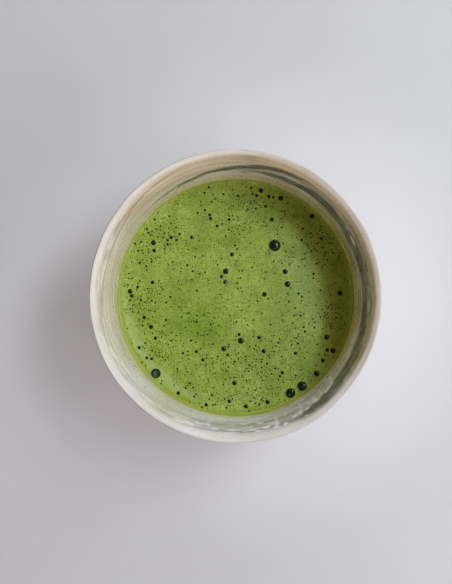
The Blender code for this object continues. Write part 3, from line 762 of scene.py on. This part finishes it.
def build_froth():
    rng = np.random.default_rng(5)
    top_edge_z = FROTH + 0.65
    edge = wall_radius(top_edge_z) - 0.02
    bubbles = [(d * math.cos(math.radians(a)), d * math.sin(math.radians(a)), r) for d, a, r in BIG]
    bubbles += [(0.99 * x + 0.32, 0.99 * y + 0.27, 0.99 * r + 0.05) for x, y, r in SEEN]

    def fits(x, y, r, k):
        q = np.array(bubbles)
        return bool(np.all(np.hypot(q[:, 0] - x, q[:, 1] - y) > (q[:, 2] + r) * k + 0.08)) and math.hypot(x, y) + r < edge - 0.8

    # small bubbles: scattered, thicker on the left half and in clusters
    clusters = [(-42, 26, 9), (-44, -4, 8), (-34, -24, 9), (-14, -30, 9), (8, -34, 9), (-30, 28, 9), (40, 24, 7), (26, -20, 9), (2, 40, 10), (-6, -46, 10), (44, -8, 6), (12, -46, 9)]
    tries = 0
    while len(bubbles) < 1350 and tries < 60000:
        tries += 1
        if rng.uniform() < 0.55:
            cx, cy, cr = clusters[rng.integers(len(clusters))]
            x, y = cx + rng.normal() * cr * 0.6, cy + rng.normal() * cr * 0.6
        else:
            a, d = rng.uniform(0, 2 * math.pi), edge * math.sqrt(rng.uniform())
            x, y = d * math.cos(a), d * math.sin(a)
        r = 0.17 + 0.24 * rng.power(0.6)
        if rng.uniform() < 0.10:
            r += rng.uniform(0.05, 0.16)
        if fits(x, y, r, 1.25):
            bubbles.append((x, y, r))
    B = np.array(bubbles)

    # points: wall ring, rings round each bubble, and an even scatter between
    points = []
    a = np.arange(EDGE_TURNS) * 2 * math.pi / EDGE_TURNS
    ring = np.stack([np.cos(a) * edge, np.sin(a) * edge], 1)
    step = 0.54
    rows = []
    j = 0
    y = -edge
    while y < edge:
        xs = np.arange(-edge, edge, step) + (step / 2 if j % 2 else 0)
        rows.append(np.stack([xs, np.full(xs.size, y)], 1))
        y += step * 0.866
        j += 1
    grid = np.vstack(rows)
    grid += rng.uniform(-0.28, 0.28, grid.shape) * step
    grid = grid[np.hypot(grid[:, 0], grid[:, 1]) < edge - 1.35]
    keep = np.ones(len(grid), bool)
    for x, y, r in B:
        near = (np.abs(grid[:, 0] - x) < r * 1.6 + 0.3) & (np.abs(grid[:, 1] - y) < r * 1.6 + 0.3)
        keep[near] &= np.hypot(grid[near, 0] - x, grid[near, 1] - y) > r * 1.34 + 0.12
    points.append(grid[keep])
    for d in (0.12, 0.28, 0.5, 0.78, 1.1):
        m = EDGE_TURNS if d < 0.3 else EDGE_TURNS * 3 // 4
        aa = (np.arange(m) + 0.37 * d * 10 % 1) * 2 * math.pi / m
        points.append(np.stack([np.cos(aa) * (edge - d), np.sin(aa) * (edge - d)], 1))
    for k, (x, y, r) in enumerate(B):
        if r > 1.1:
            fs, n = (0.45, 0.72, 0.86, 0.94, 1.0, 1.06, 1.16, 1.3), 44
        elif r > 0.44:
            fs, n = (0.5, 0.82, 0.95, 1.04, 1.22), 20
        else:
            fs, n = (0.6, 0.95, 1.18), 10
        points.append(np.array([[x, y]]))
        for q, f in enumerate(fs):
            m = max(6, int(n * min(1, f + 0.2)))
            aa = (np.arange(m) + 0.5 * (q % 2) + 0.13 * k) * 2 * math.pi / m
            points.append(np.stack([x + np.cos(aa) * r * f, y + np.sin(aa) * r * f], 1))
    inner = np.vstack(points)
    flat = np.vstack([ring, inner])
    count = len(ring)
    edges = [(k, (k + 1) % count) for k in range(count)]
    co, _, tris, orig, _, _ = delaunay_2d_cdt([mathutils.Vector(q) for q in flat.tolist()], edges, [], 0, 1e-7)
    co = np.array([tuple(v) for v in co])
    r = np.hypot(co[:, 0], co[:, 1])

    p3 = np.stack([co[:, 0], co[:, 1], np.zeros(len(co))], 1)
    lumps = 0.05 * fbm(p3 * 0.16, 2, 61) + 0.035 * fbm(p3 * 0.75, 3, 62)
    z = FROTH + swell(r, edge) + lumps * ss(0, 3, edge - r)
    pit = np.zeros(len(co))
    for x, y, br in B:
        near = (np.abs(co[:, 0] - x) < br * 1.7) & (np.abs(co[:, 1] - y) < br * 1.7)
        idx = np.nonzero(near)[0]
        u = np.hypot(co[idx, 0] - x, co[idx, 1] - y) / br
        deep = min(1.55, 0.30 + 0.75 * br)
        dish = np.where(u < 1.0, -deep * (1 - np.clip(u, 0, 1) ** 6), 0.0)
        lift = 0.10 * br * np.exp(-(((u - 1.08) / 0.16) ** 2))
        z[idx] += dish + np.minimum(lift, 0.12)
        pit[idx] = np.maximum(pit[idx], 1 - ss(0.86, 1.04, u))
    edge_mask = 1 - ss(0.9, 2.6, edge - r + 0.7 * fbm(p3 * 0.25, 2, 63))
    # the blobs near the top wall (y 38 to 44 mm) are painted shade from the wall; the others are patches of thinner
    # froth
    blobs = [(-18, -8, 12, 0.7), (14, -8, 7, 0.5), (22, -3, 5, 0.45), (-6, 30, 10, 0.45), (-24, -14, 7, 0.4), (-10, -18, 8, 0.5), (0, 44, 9, 0.5), (-14, 40, 7, 0.35), (10, 41, 8, 0.45), (23, 38, 7, 0.35), (-40, 3, 6, 0.35), (10, 30, 9, 0.3)]
    thin = 0.10 + 0.25 * fbm(p3 * 0.06, 3, 64) + 0.30 * (1 - ss(-34, 4, co[:, 0])) * ss(3, 9, edge - r)
    for x, y, s, k in blobs:
        q = np.hypot(co[:, 0] - x, co[:, 1] - y) / s
        thin = thin + k * np.exp(-q * q) * (0.75 + 0.5 * fbm(p3 * 0.2, 3, 65))
    bearing = np.mod(np.degrees(np.arctan2(co[:, 1], co[:, 0])), 360)
    lower_left = ss(178, 205, bearing) * (1 - 0.8 * ss(234, 262, bearing)) * (1 - ss(268, 300, bearing))
    ragged = fbm(p3 * 0.22, 3, 66)
    in_from_wall = edge - r + 0.9 * ragged
    # painted reflection: paler froth where the slope up to the lower-left wall catches the light
    pale = 0.62 * lower_left * ss(1.9, 3.0, in_from_wall) * (1 - ss(5.2, 8.2, in_from_wall))
    pale = pale + 0.45 * ss(160, 185, bearing) * (1 - ss(200, 215, bearing)) * (1 - ss(2.5, 6.0, in_from_wall))
    edge_mask = edge_mask * (0.30 + 0.70 * ss(165, 195, bearing) * (1 - 0.45 * ss(236, 262, bearing)) * (1 - ss(285, 320, bearing)))
    # painted reflection of the window: a bluish patch on the froth right of the middle
    over = (co[:, 0] - 30.5 + 0.10 * (co[:, 1] - 8.0)) / 7.0
    sheen = 0.34 * np.exp(-(over**2) - ((co[:, 1] - 8.0) / 25.0) ** 2) * (0.85 + 0.6 * ragged)
    # painted shade: the right wall's shadow on the froth, with less of it at the top and the lower right
    wall_shade = ss(52.5, 56.5, np.hypot(co[:, 0] + 14.0, co[:, 1] + 5.0)) * (1 - 0.85 * ss(283, 300, bearing) * (1 - ss(318, 338, bearing)) - 0.75 * ss(52, 84, bearing) * (1 - ss(150, 170, bearing)))
    top_n = len(co)
    # the side down the wall and the flat underside
    ring_index = np.array([next(i for i, o in enumerate(orig) if k in o) if k not in (orig[k] if k < len(orig) else []) else k for k in range(count)])
    verts = [np.column_stack([co, z])]
    low_z = (FROTH + 0.3, 40.2, 39.4)
    rings = [ring_index]
    offset = top_n
    attr_pit, attr_edge = [pit], [edge_mask]
    for zz in low_z:
        rr = wall_radius(zz) - 0.02
        verts.append(np.column_stack([np.cos(a) * rr, np.sin(a) * rr, np.full(count, zz)]))
        rings.append(np.arange(count) + offset)
        offset += count
    verts.append(np.array([[0.0, 0.0, low_z[-1]]]))
    verts = np.vstack(verts)
    faces = [tuple(t) for t in tris]
    # keep the top's faces pointing up
    v = verts
    out = []
    for f in faces:
        a1, b1, c1 = v[f[0]], v[f[1]], v[f[2]]
        up = (b1[0] - a1[0]) * (c1[1] - a1[1]) - (b1[1] - a1[1]) * (c1[0] - a1[0])
        out.append(f if up > 0 else (f[0], f[2], f[1]))
    faces = out
    for hi, lo in zip(rings, rings[1:]):
        h2, l2 = np.roll(hi, -1), np.roll(lo, -1)
        faces += [tuple(q) for q in np.stack([hi, lo, l2, h2], 1).tolist()]
    last, centre = rings[-1], len(verts) - 1
    faces += [tuple(q) for q in np.stack([np.roll(last, -1), last, np.full(count, centre)], 1).tolist()]
    extra = len(verts) - top_n
    obj = make_object(
        "froth_raft",
        verts,
        faces,
        {
            "pit": np.concatenate([pit, np.zeros(extra)]),
            "edge": np.concatenate([edge_mask, np.ones(extra)]),
            "thin": np.concatenate([np.clip(thin, 0, 1), np.zeros(extra)]),
            "pale": np.concatenate([np.clip(pale, 0, 1), np.zeros(extra)]),
            "sheen": np.concatenate([np.clip(sheen, 0, 1), np.zeros(extra)]),
            "wall_shade": np.concatenate([wall_shade, np.zeros(extra)]),
        },
    )
    obj.data.materials.append(FOAM)
    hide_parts("matcha_foam")
    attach(obj, "tea")
    return B, edge


def dome_shell(x, y, z0, r, height, turns, rings, thick):
    """A closed thin film over a bubble: a cap and the same cap a little lower."""
    verts, faces = [], []

    def cap(rr, hh, zz):
        start = len(verts)
        verts.append((x, y, zz + hh))
        for k in range(1, rings + 1):
            f = k / rings * (math.pi / 2)
            for m in range(turns):
                a = 2 * math.pi * m / turns
                verts.append((x + rr * math.sin(f) * math.cos(a), y + rr * math.sin(f) * math.sin(a), zz + hh * math.cos(f)))
        return start

    top = cap(r, height, z0)
    bottom = cap(r - thick, height - thick, z0)
    for s, flip in ((top, False), (bottom, True)):
        for m in range(turns):
            n = (m + 1) % turns
            f = (s, s + 1 + m, s + 1 + n)
            faces.append(f[::-1] if flip else f)
            for k in range(rings - 1):
                i, j = s + 1 + k * turns, s + 1 + (k + 1) * turns
                f = (i + m, j + m, j + n, i + n)
                faces.append(f[::-1] if flip else f)
    t, b = top + 1 + (rings - 1) * turns, bottom + 1 + (rings - 1) * turns
    for m in range(turns):
        n = (m + 1) % turns
        faces.append((t + m, b + m, b + n, t + n))
    return verts, faces


# Painted highlights and reflections on the big bubbles: bubble number, offset in radii right and up, half sizes in
# radii, strength
PAINTED_GLINTS = [
    (1, 0.40, 0.08, 0.12, 0.32, 1.0), (2, -0.10, 0.10, 0.42, 0.46, 0.34), (2, -0.02, -0.45, 0.34, 0.18, 0.30), (3, -0.25, -0.28, 0.18, 0.16, 0.36), (4, 0.30, 0.18, 0.18, 0.22, 0.36),
    (4, 0.74, 0.10, 0.12, 0.45, 0.28), (5, 0.62, 0.10, 0.16, 0.45, 0.36), (6, 0.66, 0.10, 0.18, 0.50, 0.36), (7, 0.60, 0.20, 0.18, 0.42, 0.40), (9, 0.62, 0.10, 0.18, 0.42, 0.40),
]


def build_bubbles(B, edge):
    for k in range(len(BIG)):
        x, y, r = B[k]
        z0 = FROTH + float(swell(np.array([math.hypot(x, y)]), edge)[0]) - 0.05
        height = r * (0.58 if k == 0 else 0.36)
        verts, faces = dome_shell(x, y, z0, r, height, 56, 16, 0.06)
        q = (np.array(verts)[:, :2] - (x, y)) / r
        painted_highlight = np.zeros(len(q))
        for number, gx, gy, sx, sy, strength in PAINTED_GLINTS:
            if number == k + 1:
                painted_highlight = np.maximum(painted_highlight, strength * np.exp(-(((q[:, 0] - gx) / sx) ** 2) - ((q[:, 1] - gy) / sy) ** 2))
        obj = make_object(f"bubble_film_{k + 1:02d}", verts, faces, {"painted_highlight": painted_highlight})
        obj.data.materials.append(FILM)
        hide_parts(f"bubble_{k + 1:02d}")
        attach(obj, "tea")
    verts, faces = [], []
    for x, y, r in B[len(BIG):]:
        if r < 0.40:
            continue
        z0 = FROTH + float(swell(np.array([math.hypot(x, y)]), edge)[0]) - 0.03
        v, f = dome_shell(x, y, z0, r, r * 0.36, 18, 5, 0.04)
        base = len(verts)
        verts += v
        faces += [tuple(q + base for q in face) for face in f]
    obj = make_object("small_bubble_films", verts, faces, {"painted_highlight": np.zeros(len(verts))})
    obj.data.materials.append(FILM)
    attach(obj, "tea")


def build_liquid():
    low = INSIDE[INSIDE[:, 1] < LIQUID - 0.3]
    q, _ = along(low, lambda r, z: 2.0)
    side = q.copy()
    side[:, 0] = np.maximum(side[:, 0] - 0.25, 0)
    side[:, 1] = side[:, 1] + 0.25
    side = side[side[:, 1] < LIQUID - 0.15]
    side[0, 0] = 0.0
    rim = wall_radius(LIQUID) - 0.3
    top = np.array([(rim - 0.05, LIQUID - 0.1), (rim - 0.25, LIQUID), (rim * 0.66, LIQUID), (rim * 0.33, LIQUID), (0.0, LIQUID)])
    profile = np.vstack([side, top])[::-1]
    verts, faces, _, _ = lathe(profile, 180)
    obj = make_object("tea_liquid_body", verts, faces)
    obj.data.materials.append(LIQ)
    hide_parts("matcha_tea")
    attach(obj, "tea")


def build_specks():
    """Crumbs of froth dried on the left wall: bearing in degrees, height, size."""
    rng = np.random.default_rng(3)
    places = [(171, 47.0, 0.35), (173.5, 48.8, 0.3), (175, 46.0, 0.4), (176, 51.2, 0.3), (178.5, 52.3, 0.28), (179.8, 55.0, 0.3), (184.8, 49.5, 0.32), (199.5, 46.8, 0.35),
              (200.5, 49.5, 0.3), (202, 50.2, 0.36), (205.6, 47.9, 0.42), (211, 49.6, 0.34), (213.6, 46.9, 0.4), (214.6, 49.4, 0.42), (215.6, 46.4, 0.36)]
    for _ in range(46):
        places.append((rng.normal(188, 24), 43.5 + abs(rng.normal(0, 3.6)), rng.uniform(0.10, 0.24)))
    verts, faces = [], []
    for a, z, s in places:
        th = math.radians(a)
        R = wall_radius(z)
        n, up, side = np.array([-math.cos(th), -math.sin(th), 0.05]), np.array([0, 0, 1.0]), np.array([-math.sin(th), math.cos(th), 0])
        c = np.array([R * math.cos(th), R * math.sin(th), z]) + n * (-0.02)
        base = len(verts)
        seg, rings = 9, 4
        sx, sz, tall = s * rng.uniform(0.8, 1.3), s * rng.uniform(0.8, 1.5), s * rng.uniform(0.35, 0.6)
        lump = rng.uniform(0.8, 1.2, seg)
        verts.append(tuple(c + n * tall))
        for k in range(1, rings + 1):
            f = k / rings * math.pi * 0.62
            for m in range(seg):
                b = 2 * math.pi * m / seg
                w = math.sin(f) * lump[m]
                verts.append(tuple(c + side * sx * w * math.cos(b) + up * sz * w * math.sin(b) + n * tall * math.cos(f)))
        verts.append(tuple(c - n * tall * 0.6))
        end = len(verts) - 1
        for m in range(seg):
            q = (m + 1) % seg
            faces.append((base, base + 1 + q, base + 1 + m))
            for k in range(rings - 1):
                i, j = base + 1 + k * seg, base + 1 + (k + 1) * seg
                faces.append((i + m, i + q, j + q, j + m))
            i = base + 1 + (rings - 1) * seg
            faces.append((end, i + m, i + q))
    obj = make_object("dried_froth_specks", verts, faces)
    obj.data.materials.append(SPECK)
    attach(obj, "bowl")


build_bowl()
build_foot()
BUBBLES, EDGE = build_froth()
build_bubbles(BUBBLES, EDGE)
build_liquid()
build_specks()

# --------------------------------------------------------------------------- the stage

floor_mesh = bpy.data.meshes.new("table")
floor_mesh.from_pydata([(-9, -9, 0), (9, -9, 0), (9, 9, 0), (-9, 9, 0)], [], [(0, 1, 2, 3)])
floor_mesh.materials.append(TABLE)
floor = bpy.data.objects.new("table", floor_mesh)
floor.location = (0, 0, -0.0001)
bpy.context.scene.collection.objects.link(floor)


def area_light(name, bearing, elevation, distance, size, power, colour, target=(0, 0, 0.05), size_y=None):
    data = bpy.data.lights.new(name, "AREA")
    data.shape = "RECTANGLE"
    data.size = size
    data.size_y = size_y or size
    data.energy = power
    data.color = colour
    obj = bpy.data.objects.new(name, data)
    b, e = math.radians(bearing), math.radians(elevation)
    at = mathutils.Vector(
        (target[0] + distance * math.cos(e) * math.cos(b), target[1] + distance * math.cos(e) * math.sin(b), target[2] + distance * math.sin(e))
    )
    obj.location = at
    obj.rotation_euler = (mathutils.Vector(target) - at).to_track_quat("-Z", "Y").to_euler()
    bpy.context.scene.collection.objects.link(obj)
    return obj


# Two window panes high on the right, and a pale wall near by on the same side
KEY, NEAR = (0.733, 0.921, 0.955), (1.091, 1.001, 1.132)
area_light("window_right", 18, 60, 0.9, 0.24, 1.535, KEY)
area_light("window_far_right", 38, 52, 0.9, 0.24, 1.82, KEY)
area_light("pale_wall_near", -25, 28, 0.55, 0.35, 0.855, NEAR)
area_light("pale_wall_far", 45, 28, 0.55, 0.35, 0.165, NEAR)

# The room: bright low down all round, dimmer higher up and dark on the left above, with nothing overhead
world = bpy.data.worlds.new("room")
bpy.context.scene.world = world
world.use_nodes = True
wt = world.node_tree
wt.nodes.clear()


def wmath(op, a, b=0.0, clamp=False):
    n = wt.nodes.new("ShaderNodeMath")
    n.operation = op
    n.use_clamp = clamp
    for k, v in enumerate((a, b)):
        if isinstance(v, (int, float)):
            n.inputs[k].default_value = v
        else:
            wt.links.new(v, n.inputs[k])
    return n.outputs[0]


def wstep(x, a, b):
    n = wt.nodes.new("ShaderNodeMapRange")
    n.interpolation_type = "SMOOTHSTEP"
    wt.links.new(x, n.inputs[0])
    n.inputs[1].default_value, n.inputs[2].default_value = a, b
    return n.outputs[0]


way = wt.nodes.new("ShaderNodeSeparateXYZ")
wt.links.new(wt.nodes.new("ShaderNodeTexCoord").outputs["Generated"], way.inputs[0])
wx, wy, wz = way.outputs[0], way.outputs[1], way.outputs[2]
low, mid, high = wstep(wz, 0.14, 0.28), wstep(wz, 0.42, 0.58), wstep(wz, 0.80, 0.93)
sky = wmath("SUBTRACT", 1.0, low)
from_right, from_left = wstep(wx, 0.35, 0.85), wstep(wmath("MULTIPLY", wx, -1.0), 0.20, 0.52)
sky = wmath("ADD", sky, wmath("MULTIPLY", wmath("SUBTRACT", low, mid), wmath("SUBTRACT", 0.97, wmath("MULTIPLY", from_right, 0.95))))
sky = wmath("ADD", sky, wmath("MULTIPLY", wmath("SUBTRACT", mid, high), wmath("SUBTRACT", 0.57, wmath("MULTIPLY", from_left, 0.57))))
back = wt.nodes.new("ShaderNodeBackground")
back.inputs["Color"].default_value = (1.175, 1.054, 1.049, 1)
wt.links.new(sky, back.inputs["Strength"])
wout = wt.nodes.new("ShaderNodeOutputWorld")
wt.links.new(back.outputs[0], wout.inputs["Surface"])

camera_data = bpy.data.cameras.new("camera")
camera_data.sensor_fit = "HORIZONTAL"
camera_data.sensor_width = 36.0
camera_data.lens = 687.0 / 452.0 * 36.0
camera_data.clip_start = 0.01
camera_data.clip_end = 20
camera = bpy.data.objects.new("camera", camera_data)
camera.location = (0.0008, -0.008, 0.355)
camera.rotation_euler = (math.atan(22.6 / 687.0), math.atan(11.05 / 687.0), 0.0)
bpy.context.scene.collection.objects.link(camera)
bpy.context.scene.camera = camera
bpy.context.scene.view_settings.view_transform = "Standard"
